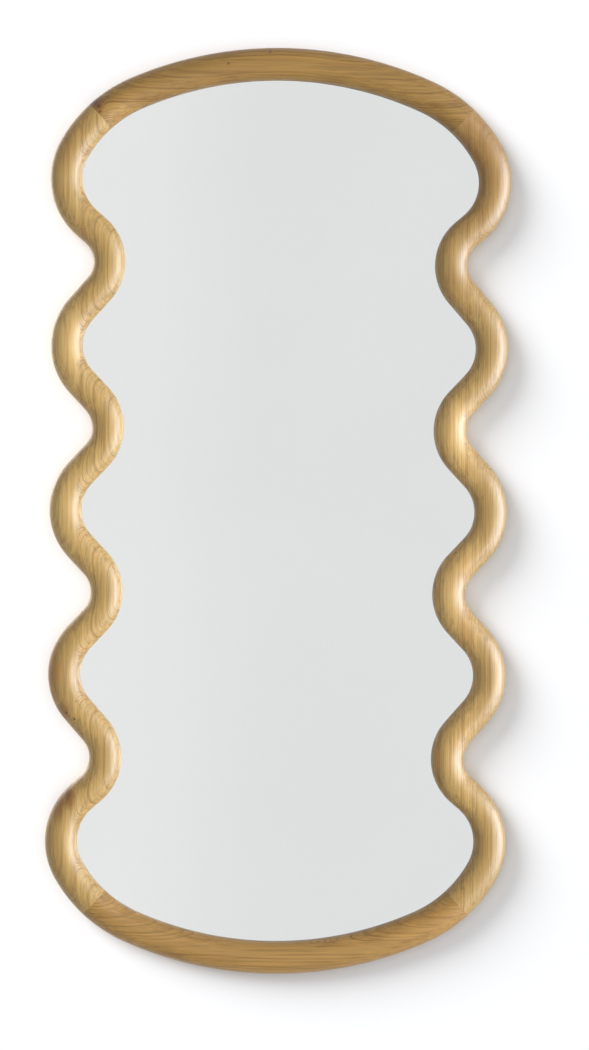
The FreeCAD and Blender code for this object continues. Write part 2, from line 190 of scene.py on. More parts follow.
class StudioSizes(bpy.types.PropertyGroup):
    """Camera, lamps, wall and floor."""
    camera_distance: length("Camera distance", "From the mirror", 6.0)
    camera_x: length("Camera X", "How far right of the middle the camera stands", -0.28)
    view_height: length("View height", "Height of the photograph's frame at the mirror", 1.3863)
    aim_x: length("Aim X", "Where the camera looks, to the right", 0.0206)
    aim_z: length("Aim Z", "Where the camera looks, upwards", -0.0185)
    lean: angle("Lean", "How far the mirror leans clockwise in the photograph", 0.48)
    floor_z: length("Floor", "Height of the floor", -1.35)
    wall_half: length("Wall", "Half the width of the wall", 6.0)
    key_power: strength("Key", "Watts of the large soft lamp", 163)
    rear_power: strength("Rear", "Watts of the lamp behind", 40)
    sheen_power: strength("Sheen", "Watts of the side panel that the lacquer reflects", 550)
    wall_slant: strength("Slanting wall light", "Strength of the light that draws the shadow", 3.55)
    wall_front: strength("Front wall light", "Strength of the wall's light from in front", 1.3)
    floor_light: strength("Floor light", "Strength of the floor's light", 2.0)
    ambient: share("Ambient", "Strength of the room's even light", 0.25)
    ambient_fall: share("Fall", "How much weaker that light is from above than from below", 0.36)
    room_grey: share("Room", "How bright polished parts see the room", 0.85)
    mirror_grey: share("Mirror", "How bright the mirror sees the room in front of it", 0.82)


PROPERTY_GROUPS = {
    "wavy_frame": WavyFrameSizes,
    "mirror_back": MirrorBackSizes,
    "mirror_hanger": HangerSizes,
    "mirror_wood": WoodColours,
    "mirror_studio": StudioSizes,
}


# The waved line of the bar's middle, as arcs that touch or are joined by straight stretches

def radii_of_wave(half_pitch, depth, slant):
    """The radii, added up, of two tangent lobes with a straight stretch at the slant between."""
    return (half_pitch * math.sin(slant) - depth * math.cos(slant)) / (1 - math.cos(slant))


def turn_between(outward, inward):
    """How far two lobes turn up to the straight stretch that touches both."""
    across = inward.x - outward.x
    along = abs(inward.z - outward.z)
    reach = math.acos((outward.radius + inward.radius) / math.hypot(across, along))
    return math.atan2(along, across) - reach


def side_lobes(sizes):
    """The nine lobes of the right side from the bottom up, outward and inward by turns."""
    corner_reach = (sizes.width - sizes.bar_width) / 2
    middle_reach = corner_reach - sizes.middle_set_in
    inward_reach = middle_reach - sizes.wave_depth
    corner_z = sizes.height / 2 - sizes.crown_rise
    pitch = corner_z / 2 * sizes.pitch_share
    both = radii_of_wave(pitch / 2, sizes.wave_depth, sizes.middle_slant)
    outward = both * sizes.radius_share
    inward = both - outward
    corner_depth = sizes.wave_depth + sizes.middle_set_in
    corner = radii_of_wave((corner_z - pitch) / 2, corner_depth, sizes.corner_slant) - inward
    heights = [-corner_z, -pitch, 0, pitch, corner_z]
    crests = [Arc(middle_reach - outward, z, outward, 0, 0) for z in heights]
    crests[0] = Arc(corner_reach - corner, -corner_z, corner, 0, 0)
    crests[-1] = crests[0]._replace(z=corner_z)
    lobes = [crests[0]]
    for below, above in zip(crests, crests[1:]):
        lobes += [Arc(inward_reach + inward, (below.z + above.z) / 2, inward, 0, 0), above]
    turns = [turn_between(*sorted(pair, key=lambda lobe: lobe.x)) for pair in zip(lobes, lobes[1:])]
    turns = [sizes.shoulder_start] + turns + [sizes.shoulder_start]
    for number, lobe in enumerate(lobes):
        before, after = turns[number], turns[number + 1]
        if number % 2:
            lobes[number] = lobe._replace(start=math.pi + before, end=math.pi - after)
        else:
            lobes[number] = lobe._replace(start=-before, end=after)
    return lobes


def crown_arcs(sizes, corner):
    """The shoulder and the crown arc that carry a corner lobe over to the middle of the top."""
    first, last = sizes.shoulder_start, sizes.crown_start
    top = (sizes.height - sizes.bar_width) / 2
    run = corner.x + corner.radius * math.cos(first)
    rise = top - corner.z - corner.radius * math.sin(first)
    across = math.cos(first) - math.cos(last)
    up = math.sin(last) - math.sin(first)
    divisor = across * (1 - math.sin(last)) - math.cos(last) * up
    shoulder_radius = (run * (1 - math.sin(last)) - rise * math.cos(last)) / divisor
    crown_radius = (rise * across - run * up) / divisor
    shoulder = Arc(
        corner.x + (corner.radius - shoulder_radius) * math.cos(first),
        corner.z + (corner.radius - shoulder_radius) * math.sin(first),
        shoulder_radius, first, last)
    crown = Arc(0, top - crown_radius, crown_radius, last, math.pi - last)
    return shoulder, crown


def stile_path(sizes):
    """The right stile's middle line, from the lower mitre to the upper one."""
    lobes = side_lobes(sizes)
    shoulder, _ = crown_arcs(sizes, lobes[-1])
    lower = shoulder._replace(z=-shoulder.z, start=-sizes.mitre, end=-shoulder.start)
    return [lower] + lobes + [shoulder._replace(end=sizes.mitre)]


def rail_path(sizes):
    """The top rail's middle line, from the right mitre to the left one."""
    shoulder, crown = crown_arcs(sizes, side_lobes(sizes)[-1])
    left = shoulder._replace(x=-shoulder.x, start=crown.end, end=math.pi - sizes.mitre)
    return [shoulder._replace(start=sizes.mitre), crown, left]


def loop_path(sizes):
    """The whole middle line, once round."""
    half = stile_path(sizes) + rail_path(sizes)
    return half + [
        arc._replace(x=-arc.x, z=-arc.z, start=arc.start + math.pi, end=arc.end + math.pi) for arc in half]


def side_of(arc):
    """1 where the arc bulges away from the mirror, and -1 where it bulges into it."""
    return 1 if arc.end > arc.start else -1


def outward_at(arc, turn):
    """The direction away from the mirror at an angle of the arc."""
    return Vector((math.cos(turn), 0, math.sin(turn))) * side_of(arc)


def station(arc, turn, outwards=0.0, rise=0.0):
    """The point at an angle of the arc, shifted away from the mirror and up from the back."""
    middle = Vector((arc.x, BACK_Y, arc.z)) + outward_at(arc, turn) * arc.radius * side_of(arc)
    return middle + outward_at(arc, turn) * outwards + FRONTWARDS * rise


def station_matrix(arc, turn):
    """Carries a section drawn in X (outwards) and Z (up from the back) to its place on the arc."""
    out = outward_at(arc, turn)
    matrix = Matrix((out, FRONTWARDS.cross(out), FRONTWARDS)).transposed().to_4x4()
    matrix.translation = station(arc, turn)
    return matrix


def verts_of(geom):
    return [item for item in geom if isinstance(item, bmesh.types.BMVert)]


def edges_of(geom):
    return [item for item in geom if isinstance(item, bmesh.types.BMEdge)]


def sweep(bm, path, spacing):
    """Carries all that is in the bmesh along a chain of arcs and the straights between them."""
    last = bm.verts[:] + bm.edges[:]
    for arc, following in zip(path, path[1:] + [None]):
        turn = arc.end - arc.start
        steps = max(2, round(abs(turn) * arc.radius / spacing))
        last = swing(bm, last, (arc.x, 0, arc.z), FRONTWARDS, turn, steps)
        run = station(following, following.start) - station(arc, arc.end) if following else Vector()
        if run.length > SAME_POINT:
            last = pull(bm, last, run)
    return last


def swing(bm, geom, centre, axis, turn, steps):
    """Extrudes points and edges round an axis and returns the far end."""
    return bmesh.ops.spin(
        bm, geom=geom, cent=centre, axis=axis, angle=turn, steps=steps,
        use_merge=False, use_duplicate=False)["geom_last"]


def pull(bm, geom, run):
    """Extrudes a line of points or edges by a straight run and returns its far end."""
    edges = edges_of(geom)
    if edges:
        made = bmesh.ops.extrude_edge_only(bm, edges=edges)["geom"]
        ends = set(verts_of(made))
        far = verts_of(made) + [edge for edge in edges_of(made) if ends.issuperset(edge.verts)]
    else:
        far = verts_of(bmesh.ops.extrude_vert_indiv(bm, verts=verts_of(geom))["verts"])
    bmesh.ops.translate(bm, verts=verts_of(far), vec=run)
    return far


def move(bm, matrix):
    """Shifts, turns or mirrors the whole shape. A mirrored one is turned right side out when finished."""
    bmesh.ops.transform(bm, matrix=matrix, verts=bm.verts)


def weld(bm):
    bmesh.ops.remove_doubles(bm, verts=bm.verts, dist=SAME_POINT)


def face_outwards(bm):
    bmesh.ops.recalc_face_normals(bm, faces=bm.faces)


def close_holes(bm):
    bmesh.ops.holes_fill(bm, edges=[edge for edge in bm.edges if edge.is_boundary], sides=0)


def arris(bm, edges, width, segments=1):
    bmesh.ops.bevel(
        bm, geom=edges, offset=width, offset_type="OFFSET", segments=segments, profile=0.5,
        affect="EDGES", material=-1, clamp_overlap=True)


def round_corners(bm, verts, width, segments):
    bmesh.ops.bevel(
        bm, geom=verts, offset=width, offset_type="OFFSET", segments=segments, profile=0.5,
        affect="VERTICES", material=-1)


def verts_at(bm, corners):
    """The points at corners of the section, each given as X and Z."""
    return [
        vert for vert in bm.verts for x, z in corners
        if (vert.co - Vector((x, 0, z))).length < SAME_POINT]


def turned_by_more(edges, turn):
    """The edges whose two faces meet at more than a turn."""
    return [edge for edge in edges if edge.is_manifold and edge.calc_face_angle(0) > turn]


def mesh_object(name, bm):
    mesh = bpy.data.meshes.new(name)
    bm.to_mesh(mesh)
    bm.free()
    made = bpy.data.objects.new(name, mesh)
    bpy.context.scene.collection.objects.link(made)
    return made


def finish_piece(name, bm, body, replaced, materials):
    """Makes an object of the bmesh, in place, and hangs it on its body of the frame."""
    weld(bm)
    face_outwards(bm)
    piece = mesh_object(name, bm)
    piece.data.shade_smooth()
    piece.data.set_sharp_from_angle(angle=EDGE_TURN)
    for material in materials:
        piece.data.materials.append(material)
    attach(piece, body)
    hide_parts(*replaced)
    return piece


def bar_section(sizes, back):
    """The closed outline of the bar's section, X outwards and Z up from the back of the frame."""
    half = sizes.bar_width / 2
    spring = sizes.bar_depth - half
    glass_step = sizes.lip_cover - half
    board_step = glass_step + sizes.board_ledge
    board_front = back.recess + back.board
    lip = board_front + back.glass
    corners = [
        (-half, spring), (-half, lip), (glass_step, lip), (glass_step, board_front),
        (board_step, board_front), (board_step, 0), (half, 0), (half, spring)]
    bm = bmesh.new()
    verts = [bm.verts.new((x, 0, z)) for x, z in corners]
    for pair in zip(verts, verts[1:]):
        bm.edges.new(pair)
    swing(bm, [verts[-1]], (0, 0, spring), FRONTWARDS, math.pi, FRONT_STEPS)
    weld(bm)
    outer = verts_at(bm, [(half, 0)])
    eased = verts_at(bm, [(-half, lip), (board_step, 0)])
    round_corners(bm, outer, sizes.back_chamfer * math.sqrt(2), 1)
    round_corners(bm, eased, sizes.arris, 1)
    return bm


def swept_bar(sizes, back, path):
    """The solid bar along a path, closed at both ends."""
    bm = bar_section(sizes, back)
    move(bm, station_matrix(path[0], path[0].start))
    sweep(bm, path, STATION_SPACING)
    weld(bm)
    close_holes(bm)
    face_outwards(bm)
    return bm


def keep_side(bm, x, outer):
    """Cuts the bar at the upright plane of the glue line and keeps one side of it."""
    geom = bm.verts[:] + bm.edges[:] + bm.faces[:]
    bmesh.ops.bisect_plane(
        bm, geom=geom, dist=SAME_POINT, plane_co=(x, 0, 0), plane_no=(1, 0, 0),
        clear_outer=not outer, clear_inner=outer)
    close_holes(bm)


def outline(path, outwards, rise):
    """A wire that runs beside the middle line of the bar, once round."""
    bm = bmesh.new()
    bm.verts.new(station(path[0], path[0].start, outwards, rise))
    sweep(bm, path, STATION_SPACING)
    weld(bm)
    return bm


def waved_plate(sizes, outwards, low, high, edge):
    """A flat plate cut to the waved outline, between two heights above the frame's back."""
    bm = outline(loop_path(sizes), outwards, low)
    face = bmesh.ops.contextual_create(bm, geom=bm.edges[:])["faces"]
    made = bmesh.ops.extrude_face_region(bm, geom=face, use_keep_orig=True)["geom"]
    bmesh.ops.translate(bm, verts=verts_of(made), vec=FRONTWARDS * (high - low))
    face_outwards(bm)
    if edge:
        arris(bm, turned_by_more(bm.edges, EDGE_TURN), edge)
    return bm


# Node trees

class Nodes:
    """A node tree, built a node at a time."""

    def __init__(self, tree):
        self.tree = tree

    def add(self, kind, inputs=None, **settings):
        """A node with its settings, and with its inputs linked or set."""
        node = self.tree.nodes.new("ShaderNode" + kind)
        for key, value in settings.items():
            setattr(node, key, value)
        for key, value in (inputs or {}).items():
            self.feed(node.inputs[key], value)
        return node

    def feed(self, socket, value):
        if isinstance(value, bpy.types.NodeSocket):
            self.tree.links.new(value, socket)
        else:
            socket.default_value = value

    def math(self, operation, *values):
        return self.add("Math", dict(enumerate(values)), operation=operation).outputs[0]

    def vector(self, operation, first, second=(0, 0, 0)):
        """A vector, or the number that a LENGTH or a DISTANCE gives."""
        node = self.add("VectorMath", {0: first, 1: second}, operation=operation)
        return node.outputs["Value" if operation in ("LENGTH", "DISTANCE") else "Vector"]

    def noise(self, vector, scale, detail=2.0, roughness=0.5):
        inputs = {"Vector": vector, "Scale": scale, "Detail": detail, "Roughness": roughness}
        return self.add("TexNoise", inputs).outputs["Fac"]

    def ramp(self, value, low, high, to_low=0.0, to_high=1.0, smooth=True):
        inputs = {"Value": value, "From Min": low, "From Max": high, "To Min": to_low, "To Max": to_high}
        kind = "SMOOTHSTEP" if smooth else "LINEAR"
        return self.add("MapRange", inputs, interpolation_type=kind).outputs["Result"]

    def mix(self, factor, first, second, blend="MIX"):
        """A colour between two, or with the second blended over the first."""
        node = self.add("Mix", data_type="RGBA", blend_type=blend)
        self.feed(node.inputs["Factor"], factor)
        self.feed(node.inputs["A"], first)
        self.feed(node.inputs["B"], second)
        return node.outputs["Result"]

    def part_way(self, factor, first, second):
        """A number between two."""
        return self.add("Mix", {"Factor": factor, "A": first, "B": second}).outputs[0]


class Shader(Nodes):
    """One material, built round its principled shader."""

    def __init__(self, name):
        self.material = bpy.data.materials.new(name)
        self.material.use_nodes = True
        super().__init__(self.material.node_tree)
        self.bsdf = self.tree.nodes["Principled BSDF"]
        self.output = self.tree.nodes["Material Output"]

    def place(self):
        return self.add("TexCoord").outputs["Object"]

    def shade(self, **inputs):
        """Links the shader's own sockets to other nodes, or sets them to constants."""
        for key, value in inputs.items():
            self.feed(self.bsdf.inputs[key.replace("_", " ")], value)

    def bump(self, height, distance, strength=1.0):
        inputs = {"Height": height, "Distance": distance, "Strength": strength}
        self.shade(Normal=self.add("Bump", inputs).outputs["Normal"])


def opaque(values):
    return (*values, 1.0)


# A board's growth rings are cylinders round a pith that lies outside the board. The tilt, in degrees,
# turns the rings' outward direction from the front towards the board's across axis, the twist, in
# degrees to the metre, turns it further along the board, and the distance is from the pith to the
# middle of the board. The spacing is that of the rings. The sway is how far they bend, and the wander
# how often along the grain. The seed sets the board's noises apart from the others', the tone
# multiplies its red, green and blue, the line is the strength of its late wood and the heart that of
# its brown clouds.
Board = namedtuple(
    "Board", "along across_middle tilt twist distance spacing sway wander seed tone line heart knots streaks")
Knot = namedtuple("Knot", "x z radius")

# A streak's strength up to 1 brings in heart wood, what is above 1 also brings in the brown of a knot's
# halo, and below 0 the streak is a patch of pale sapwood.
Streak = namedtuple("Streak", "x z half_width half_length strength")

# Y of the boards' middle, and the tones
BOARD_DEPTH_MIDDLE = -0.024
TOP_RAIL = (0.79, 0.75, 0.56)
BOTTOM_RAIL = (0.91, 0.87, 0.72)
PALE_STILE = (1.21, 1.32, 1.42)
STILE = (1.08, 1.17, 1.28)

# What a patch of pale sapwood adds to red, green and blue at full strength, as shares of the tone
SAPWOOD = (0.9, 1.0, 1.35)

BOARDS = {
    "top_rail": Board("X", 0.585, 76, 0, 0.16, 0.004, 0.005, 8.0, 3.1, TOP_RAIL, 0.95, 0.3, [
        Knot(-0.247, 0.535, 0.0042), Knot(-0.242, 0.529, 0.0022), Knot(-0.252, 0.533, 0.0026),
        Knot(-0.24, 0.521, 0.0014), Knot(-0.072, 0.587, 0.001), Knot(-0.017, 0.6035, 0.0009)],
        [Streak(-0.245, 0.535, 0.013, 0.014, 0.9), Streak(-0.212, 0.518, 0.038, 0.032, -0.5)]),
    "bottom_rail": Board("X", -0.585, 60, 0, 0.13, 0.0036, 0.004, 5.0, 7.7, BOTTOM_RAIL, 0.9, 0.35, [], [
        Streak(0.215, -0.535, 0.08, 0.07, -0.15), Streak(-0.215, -0.535, 0.08, 0.07, -0.1)]),
    "left_inner": Board("Z", -0.24, 56, 0, 0.13, 0.004, 0.003, 3.2, 1.3, PALE_STILE, 1.0, 0.15, [
        Knot(-0.2405, 0.5208, 0.0012)], [Streak(-0.24, -0.1, 0.1, 0.45, -0.12)]),
    "right_inner": Board("Z", 0.24, 82, 0, 0.2, 0.0028, 0.003, 3.2, 5.9, STILE, 0.95, 0.5, [], [
        Streak(0.24, -0.11, 0.1, 0.42, -0.32), Streak(0.236, 0.095, 0.05, 0.08, -0.55),
        Streak(0.26, 0.47, 0.08, 0.13, 0.75)]),
    "left_lobes": Board("Z", -0.285, -62, 0, 0.14, 0.0042, 0.006, 3.2, 9.2, PALE_STILE, 0.45, 0.3, [
        Knot(-0.2774, -0.2675, 0.001), Knot(-0.2668, -0.2754, 0.0008), Knot(-0.2632, -0.2516, 0.0008)],
        [Streak(-0.295, -0.21, 0.015, 0.07, 0.7), Streak(-0.282, -0.268, 0.014, 0.024, 0.9),
         Streak(-0.288, -0.372, 0.015, 0.045, 1.55), Streak(-0.285, 0.12, 0.1, 0.3, -0.2),
         Streak(-0.273, -0.377, 0.01, 0.023, 1.6), Streak(-0.278, 0.215, 0.04, 0.07, -0.45),
         Streak(-0.285, 0.49, 0.03, 0.06, 0.5)]),
    "right_lobes": Board("Z", 0.285, 79, -60, 0.14, 0.003, 0.004, 3.2, 4.4, STILE, 0.8, 0.25, [], [
        Streak(0.285, -0.11, 0.1, 0.42, -0.06), Streak(0.26, 0.47, 0.08, 0.13, 0.75)]),
}

# Noises in the wood: waves to the metre across the grain and along it, or all ways at a knot, then
# the detail and the roughness where they aren't the usual ones
SWAY_ACROSS = 9
SWAY_DETAIL = 1.0
RIPPLE = (60, 14, 1.0)
STREAK_FRAY = (90, 18)
FIBRE = (900, 22, 3.0, 0.65)
STRAND = (270, 6, 2.0, 0.6)
CLOUD = (22, 5)
KNOT_FRAY = (420.0, 3.0)

# How far those noises move the rings, in the board's sways and in ring spacings, and how far they move
# the edge of a streak, in its half sizes, and of a knot, in its radii
SWAY_REACH = 4
RIPPLE_REACH = 0.45
STREAK_FRAY_REACH = 0.9
KNOT_FRAY_REACH = 1.5

# Rings are wide and narrow by turns: how often that changes, per ring, and by how many rings
UNEVEN_RATE = 0.35
UNEVEN_REACH = 2.2

# Ramps: from, to, and the values at both unless the use gives them
LATE_BEGINS = (0.56, 0.95, 0.0, 1.0)
LATE_ENDS = (0.93, 1.0, 1.0, 0.0)
LATE_BY_RING = (0.0, 1.0, 0.55, 1.0)
TONE_BY_RING = (0.0, 1.0, 0.96, 1.04)
TONE_BY_STRAND = (0.3, 0.7, 1.14, 0.81)
HEART_BY_STRAND = (0.52, 0.70, 0.0, 0.30)
HEART_CLOUD = (0.48, 0.72)
FIBRE_RANGE = (0.25, 0.75)
STREAK_EDGE = (0.5, 1.6)

# Round a knot, in its radii: the swirl of the rings and its push in spacings, the spot, and the halo
KNOT_SWIRL = 6
KNOT_PUSH = 1.6
KNOT_SPOT = (0.9, 2.1)
KNOT_HALO = (1.0, 4.0)
HALO_STRENGTH = 0.75

# Relief of the wood under its lacquer: shares of fibre and late wood, and height and strength
FIBRE_RELIEF = 0.35
LATE_RELIEF = -0.6
WOOD_RELIEF = (0.00006, 0.6)


class LacqueredBoard(Shader):
    """Solid wood with one grain for the whole board, under a satin lacquer."""

    def __init__(self, name, colours):
        super().__init__("lacquered_" + name)
        self.board = BOARDS[name]
        self.point = self.place()
        parts = self.add("SeparateXYZ", {0: self.point}).outputs
        upright = self.board.along == "Z"
        self.across, self.along = (parts["X"], parts["Z"]) if upright else (parts["Z"], parts["X"])
        self.depth = parts["Y"]
        seed = self.board.seed
        grain = self.add("CombineXYZ", {"X": self.across, "Y": self.depth, "Z": self.along}).outputs[0]
        self.grain = self.vector("ADD", grain, (seed, seed / 2, seed / 3))
        self.dark = self.halo = self.browner = self.paler = 0.0
        for streak in self.board.streaks:
            self.draw(streak)
        self.paint(colours, *self.rings(self.swirled(self.radius())))

    def grained(self, cross, lengthwise, *detail):
        """A noise stretched along the grain."""
        return self.noise(self.vector("MULTIPLY", self.grain, (cross, cross, lengthwise)), 1.0, *detail)

    def shifted(self, noise, reach, value):
        """A value that the noise moves up and down by half the reach."""
        return self.math("MULTIPLY_ADD", self.math("SUBTRACT", noise, 0.5), reach, value)

    def radius(self):
        """Distance from the pith, bent by the sway and the ripple of the grain."""
        board = self.board
        tilt = self.math("MULTIPLY_ADD", self.along, math.radians(board.twist), math.radians(board.tilt))
        right = self.math("MULTIPLY", self.math("SINE", tilt), board.distance)
        ahead = self.math("MULTIPLY", self.math("COSINE", tilt), -board.distance)
        from_pith = self.add("CombineXYZ", {
            "X": self.math("ADD", self.math("SUBTRACT", self.across, board.across_middle), right),
            "Y": self.math("ADD", self.math("SUBTRACT", self.depth, BOARD_DEPTH_MIDDLE), ahead)}).outputs[0]
        radius = self.vector("LENGTH", from_pith)
        sway = self.grained(SWAY_ACROSS, board.wander, SWAY_DETAIL)
        radius = self.shifted(sway, SWAY_REACH * board.sway, radius)
        return self.shifted(self.grained(*RIPPLE), RIPPLE_REACH * board.spacing, radius)

    def swirled(self, radius):
        """The radius as it swirls round the knots, whose spots and halos are drawn here too."""
        for knot in self.board.knots:
            flat = self.vector("MULTIPLY", self.point, (1, 0, 1))
            reach = self.vector("DISTANCE", flat, (knot.x, 0, knot.z))
            push = KNOT_PUSH * self.board.spacing
            radius = self.math("ADD", radius, self.ramp(reach, 0.0, KNOT_SWIRL * knot.radius, push, 0.0))
            fray = self.noise(self.point, *KNOT_FRAY)
            ragged = self.math("MULTIPLY_ADD", fray, KNOT_FRAY_REACH * knot.radius, reach)
            spot = self.ramp(ragged, *[share * knot.radius for share in KNOT_SPOT], 1.0, 0.0)
            self.dark = self.math("MAXIMUM", self.dark, spot)
            halo = self.ramp(ragged, *[share * knot.radius for share in KNOT_HALO], HALO_STRENGTH, 0.0)
            self.halo = self.math("MAXIMUM", self.halo, halo)
        return radius

    def draw(self, streak):
        offset = self.vector("SUBTRACT", self.point, (streak.x, 0, streak.z))
        offset = self.vector("MULTIPLY", offset, (1 / streak.half_width, 0, 1 / streak.half_length))
        fray = self.grained(*STREAK_FRAY)
        reach = self.math("MULTIPLY_ADD", fray, STREAK_FRAY_REACH, self.vector("LENGTH", offset))
        patch = self.ramp(reach, *STREAK_EDGE, abs(streak.strength), 0.0)
        if streak.strength < 0:
            self.paler = self.math("MAXIMUM", self.paler, patch)
        else:
            self.browner = self.math("MAXIMUM", self.browner, patch)
        if streak.strength > 1:
            self.halo = self.math("MAXIMUM", self.halo, self.math("SUBTRACT", patch, 1.0))

    def rings(self, radius):
        """How much late wood there is at a point, and a number for the ring that it lies in."""
        spacing = self.board.spacing
        uneven = self.add("TexNoise", {"W": self.math("MULTIPLY", radius, UNEVEN_RATE / spacing)},
                          noise_dimensions="1D").outputs["Fac"]
        rings = self.math("MULTIPLY_ADD", uneven, UNEVEN_REACH, self.math("DIVIDE", radius, spacing))
        phase = self.math("FRACT", rings)
        each = self.add("TexWhiteNoise", {"W": self.math("FLOOR", rings)}, noise_dimensions="1D")
        each = each.outputs["Value"]
        late = self.math("MULTIPLY", self.ramp(phase, *LATE_BEGINS), self.ramp(phase, *LATE_ENDS))
        return self.math("MULTIPLY", late, self.ramp(each, *LATE_BY_RING)), each

    def paint(self, colours, late, each):
        """Colour, gloss and relief from the late wood, the fibres, the streaks and the knots."""
        board = self.board
        fibre = self.grained(*FIBRE)
        strand = self.grained(*STRAND)
        heart = self.ramp(self.grained(*CLOUD), *HEART_CLOUD, 0.0, board.heart)
        heart = self.math("MAXIMUM", heart, self.browner)
        heart = self.math("MAXIMUM", heart, self.ramp(strand, *HEART_BY_STRAND))
        base = self.mix(heart, opaque(colours.early), opaque(colours.heart))
        base = self.mix(self.math("MULTIPLY", late, board.line), base, opaque(colours.late))
        tone = self.ramp(fibre, *FIBRE_RANGE, 1 - colours.fibre, 1 + colours.fibre, smooth=False)
        tone = self.math("MULTIPLY", tone, self.ramp(strand, *TONE_BY_STRAND, smooth=False))
        tone = self.math("MULTIPLY", tone, self.ramp(each, *TONE_BY_RING, smooth=False))
        channels = {
            part: self.math("MULTIPLY", tone, self.math("MULTIPLY_ADD", self.paler, level * more, level))
            for part, (level, more) in enumerate(zip(board.tone, SAPWOOD))}
        tone = self.add("CombineColor", channels).outputs[0]
        base = self.mix(1.0, base, tone, blend="MULTIPLY")
        base = self.mix(self.halo, base, opaque(colours.halo))
        self.shade(
            Base_Color=self.mix(self.dark, base, opaque(colours.knot)),
            Roughness=self.ramp(late, 0.0, 1.0, colours.early_roughness, colours.late_roughness),
            Coat_Weight=colours.coat, Coat_Roughness=colours.coat_roughness)
        height = self.math("MULTIPLY_ADD", fibre, FIBRE_RELIEF, self.math("MULTIPLY", late, LATE_RELIEF))
        self.bump(height, *WOOD_RELIEF)


# Materials whose colour drifts between two tones with a noise of so many waves to the metre. The span
# is the part of the noise in which the tones change, and the relief is the height of its bumps.
TwoTone = namedtuple("TwoTone", "first second waves span relief constants")
WHOLE_SPAN = ()
SLOW_SPAN = (0.3, 0.7)
TWO_TONES = {
    "float_glass": TwoTone(
        (0.982, 0.995, 0.989), (0.988, 0.995, 0.992), 4.0, SLOW_SPAN, 0,
        {"Roughness": 0.0, "IOR": 1.52, "Transmission_Weight": 1.0}),
    "ground_glass_edge": TwoTone(
        (0.42, 0.55, 0.50), (0.60, 0.72, 0.67), 3000.0, WHOLE_SPAN, 0.00003,
        {"Roughness": 0.45, "IOR": 1.52}),
    "silver_layer": TwoTone(
        (0.905, 0.915, 0.910), (0.92, 0.925, 0.925), 3.0, SLOW_SPAN, 0,
        {"Metallic": 1.0, "Roughness": 0.0}),
    "grey_backing_paint": TwoTone(
        (0.16, 0.18, 0.18), (0.20, 0.22, 0.22), 900.0, WHOLE_SPAN, 0.00004, {"Roughness": 0.6}),
    "soft_rubber": TwoTone(
        (0.018, 0.018, 0.018), (0.035, 0.035, 0.034), 2200.0, WHOLE_SPAN, 0.00005, {"Roughness": 0.7}),
    "wall_paint": TwoTone(
        (0.8514, 0.8593, 0.8762), (0.86, 0.868, 0.885), 40.0, WHOLE_SPAN, 0,
        {"Roughness": 0.8, "Specular_IOR_Level": 0.2}),
    "floor_paint": TwoTone(
        (0.8118, 0.8118, 0.8118), (0.82, 0.82, 0.82), 40.0, WHOLE_SPAN, 0,
        {"Roughness": 0.7, "Specular_IOR_Level": 0.2}),
}


def two_tone(name):
    tones = TWO_TONES[name]
    shader = Shader(name)
    noise = shader.noise(shader.place(), tones.waves)
    factor = shader.ramp(noise, *tones.span) if tones.span else noise
    base = shader.mix(factor, opaque(tones.first), opaque(tones.second))
    shader.shade(Base_Color=base, **tones.constants)
    if tones.relief:
        shader.bump(noise, tones.relief)
    return shader


# Plain dowel wood: its two tones, and its flecks, in waves to the metre and as a span of the noise
DOWEL_WOOD = ((0.62, 0.42, 0.25), (0.45, 0.27, 0.15))
DOWEL_FLECKS = (500.0, 500.0, 90.0)
DOWEL_FLECK_SPAN = (0.55, 0.7)
DOWEL_ROUGHNESS = 0.6


def beech():
    """Plain dowel wood with short fine flecks along the grain."""
    wood = Shader("beech_dowel")
    flecks = wood.noise(wood.vector("MULTIPLY", wood.place(), DOWEL_FLECKS), 1.0)
    fleck = wood.ramp(flecks, *DOWEL_FLECK_SPAN)
    wood.shade(Base_Color=wood.mix(fleck, *map(opaque, DOWEL_WOOD)), Roughness=DOWEL_ROUGHNESS)
    return wood.material


# Hardboard: cloudy browns with pale and dark fibres. The clouds and the fibres are noises, as waves to
# the metre, detail and roughness; then come a span of the clouds and three ramps.
HARDBOARD_CLOUDS = ((0.176, 0.096, 0.048), (0.204, 0.115, 0.058))
HARDBOARD_PALE = (0.33, 0.21, 0.12)
HARDBOARD_DARK = (0.07, 0.035, 0.018)
CLOUDS = (38.0, 5.0, 0.7)
FIBRES = (520.0, 3.0, 0.7)
CLOUD_SPAN = (0.35, 0.65)
PALE_FIBRES = (0.58, 0.70, 0.0, 0.55)
DARK_FIBRES = (0.30, 0.40, 0.5, 0.0)
HARDBOARD_ROUGHNESS = (0.3, 0.7, 0.42, 0.55)
HARDBOARD_RELIEF = (0.00008, 0.5)


def hardboard():
    """Smooth brown hardboard, mottled with fibres."""
    board = Shader("brown_hardboard")
    place = board.place()
    clouds = board.noise(place, *CLOUDS)
    fibres = board.noise(place, *FIBRES)
    base = board.mix(board.ramp(clouds, *CLOUD_SPAN), *map(opaque, HARDBOARD_CLOUDS))
    base = board.mix(board.ramp(fibres, *PALE_FIBRES), base, opaque(HARDBOARD_PALE))
    base = board.mix(board.ramp(fibres, *DARK_FIBRES), base, opaque(HARDBOARD_DARK))
    board.shade(Base_Color=base, Roughness=board.ramp(clouds, *HARDBOARD_ROUGHNESS))
    board.bump(fibres, *HARDBOARD_RELIEF)
    return board.material


